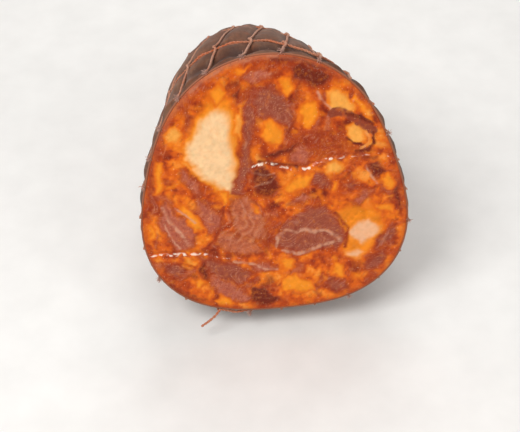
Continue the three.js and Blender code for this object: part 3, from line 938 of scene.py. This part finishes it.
STRAND_KINK = 1.1
strand_ends, strand_end_ways = [], []
for index in range(1, STRANDS + 1):
    along = np.concatenate([np.linspace(0.6, 118, 150), np.linspace(118.6, 140.4, 30)]) * MM  # body, neck
    start_angle = STRAND_START + 360 / STRANDS * index
    angle = start_angle + STRAND_TWIST * along
    to_weft = weft_gap(along, angle)
    drift = 0.9 * noise_at(along / (15 * MM), index + 0 * along, 0 * along, 15)
    kink = STRAND_KINK * np.tanh(to_weft / (1.5 * MM)) * bump(to_weft, 5 * MM)
    gathered = smooth(100 * MM, 124 * MM, along)
    angle = angle + (drift + kink) * (1 - gathered)
    lift = (0.35 + 0.95 * bump(to_weft, 2.4 * MM) * (1 - gathered) + 1.1 * gathered) * MM
    points = on_skin(along, angle, lift, STRING / 2)
    name = f"net_strand_{index:02d}"
    strand = thread(
        f"strand_{index:02d}",
        [points],
        plies=3,
        diameter=1.1 * MM,
        twist_length=4 * MM,
        step=0.8 * MM,
        cotton=strand_cotton,
    )
    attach(strand, "root")
    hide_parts(name)
    if index % 3 == 0 or 75 < wrapped(start_angle) < 165:
        strand_ends.append(points[0])
        strand_end_ways.append(points[0] - points[3])

# ---- Frayed ends ----
# Where the knife went through the top strands and some of the others, the plies have opened
# into small tufts of lint.


def tuft_tree():
    """Geometry Nodes: grows a tuft of bent fibres from each point, along its own way."""
    tree = bpy.data.node_groups.new("tuft", "GeometryNodeTree")
    tree.is_modifier = True
    sockets = (
        ("Roots", "NodeSocketGeometry"),
        ("Fibres", "NodeSocketInt"),
        ("Length", "NodeSocketFloat"),
        ("Thickness", "NodeSocketFloat"),
        ("Spread", "NodeSocketFloat"),
        ("Cotton", "NodeSocketMaterial"),
    )
    for name, kind in sockets:
        tree.interface.new_socket(name, in_out="INPUT", socket_type=kind)
    tree.interface.new_socket("Tufts", in_out="OUTPUT", socket_type="NodeSocketGeometry")
    nodes = Nodes(tree)
    given = nodes.add("NodeGroupInput")
    roots = nodes.add("GeometryNodeMeshToPoints", None, {"Mesh": given.output("Roots")})
    sockets = {"Geometry": roots, "Amount": given.output("Fibres")}
    roots = nodes.add("GeometryNodeDuplicateElements", {"domain": "POINT"}, sockets)
    way = nodes.add("GeometryNodeInputNamedAttribute", {"data_type": "FLOAT_VECTOR"}, {"Name": "way"})
    sockets = {0: (-1, -1, -1), 1: (1, 1, 1), "Seed": 3}
    scatter = nodes.add("FunctionNodeRandomValue", {"data_type": "FLOAT_VECTOR"}, sockets)
    sockets = {0: scatter, "Scale": given.output("Spread")}
    scatter = nodes.add("ShaderNodeVectorMath", {"operation": "SCALE"}, sockets)
    way = nodes.add("ShaderNodeVectorMath", {"operation": "ADD"}, {0: way, 1: scatter})
    turned = nodes.add("FunctionNodeAlignRotationToVector", {"axis": "Z"}, {"Vector": way})
    size = nodes.add("FunctionNodeRandomValue", None, {2: 0.35, 3: 1.2, "Seed": 5}, 1)
    reach = given.output("Length")
    middle = nodes.add("ShaderNodeCombineXYZ", None, {0: reach * 0.25, 2: reach * 0.5})
    tip = nodes.add("ShaderNodeCombineXYZ", None, {0: reach * -0.1, 2: reach})
    sockets = {"Resolution": 4, "Start": (0, 0, 0), "Middle": middle, "End": tip}
    fibre = nodes.add("GeometryNodeCurveQuadraticBezier", None, sockets)
    sockets = {"Resolution": 3, "Radius": given.output("Thickness")}
    section = nodes.add("GeometryNodeCurvePrimitiveCircle", None, sockets)
    sockets = {"Curve": fibre, "Profile Curve": section, "Fill Caps": True}
    fibre = nodes.add("GeometryNodeCurveToMesh", None, sockets)
    sockets = {"Points": roots, "Instance": fibre, "Rotation": turned, "Scale": size}
    tufts = nodes.add("GeometryNodeInstanceOnPoints", None, sockets)
    tufts = nodes.add("GeometryNodeRealizeInstances", None, {"Geometry": tufts})
    sockets = {"Geometry": tufts, "Material": given.output("Cotton")}
    tufts = nodes.add("GeometryNodeSetMaterial", None, sockets)
    nodes.add("NodeGroupOutput", None, {"Tufts": tufts})
    return tree


lint_cotton = cotton("frayed_lint", "cfa190", "c9805a", 0.3)
ways = [np.asarray(way) / np.linalg.norm(way) for way in strand_end_ways]
tuft_inputs = {
    "Fibres": 60,
    "Length": 1.7 * MM,
    "Thickness": 0.06 * MM,
    "Spread": 1.1,
    "Cotton": lint_cotton,
}
tufts = grown("frayed_ends", tuft_tree(), strand_ends, [], tuft_inputs, ways)
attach(tufts, "root")

# ---- End tie ----
# Twine wound round the gathered neck, over the strands, and knotted with two short ends.

TWINE = 1.6 * MM
TIE_TURNS = 4
TIE_PITCH = 1.9 * MM
TIE_START = 128 * MM
TIE_RADIUS = 10.5 * MM
TIE_ANGLE = 70
KNOT_SIZE = 2.2 * MM
TIE_REACH = 9 * MM
TIE_DROOP = 3.4 * MM

turns = np.linspace(0, TIE_TURNS, 40 * TIE_TURNS)
wraps = place_point(TIE_START + turns * TIE_PITCH, TIE_ANGLE + 360 * turns, TIE_RADIUS + 0 * turns, 0)
knot_along = TIE_START + TIE_TURNS * TIE_PITCH / 2
knot_row = [np.array([value]) for value in (knot_along, TIE_ANGLE, TIE_RADIUS + KNOT_SIZE)]
knot_middle = place_point(*knot_row, 0)[0]


def away_from_axis(angle):
    """The direction straight out of the body at an angle."""
    turn = math.radians(angle)
    return np.array(math.cos(turn) * across + math.sin(turn) * upward)


def by_knot(points):
    """Points given sideways, along the neck and outwards from the knot's middle."""
    knot_axes = np.stack([away_from_axis(TIE_ANGLE - 90), np.array(axis), away_from_axis(TIE_ANGLE)])
    return knot_middle + np.asarray(points) @ knot_axes


round_knot = np.linspace(0, 4 * math.pi, 120)
loop = KNOT_SIZE * (2 + np.cos(1.5 * round_knot)) / 2
knot_rise = KNOT_SIZE / 2 * np.sin(1.5 * round_knot)
knot = by_knot(np.stack([loop * np.cos(round_knot), loop * np.sin(round_knot), knot_rise], -1))
share = np.linspace(0, 1, 14)
ends = []
for side in (-1, 1):
    reach = side * TIE_REACH * share
    ends.append(by_knot(np.stack([reach, 3.8 * MM * share**1.4, -TIE_DROOP * share**2], -1)))
tie = thread(
    "end_twine",
    [wraps, knot, *ends],
    plies=3,
    diameter=TWINE,
    twist_length=5 * MM,
    step=0.5 * MM,
    cotton=twine_cotton,
)
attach(tie, "root")
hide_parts("end_tie")
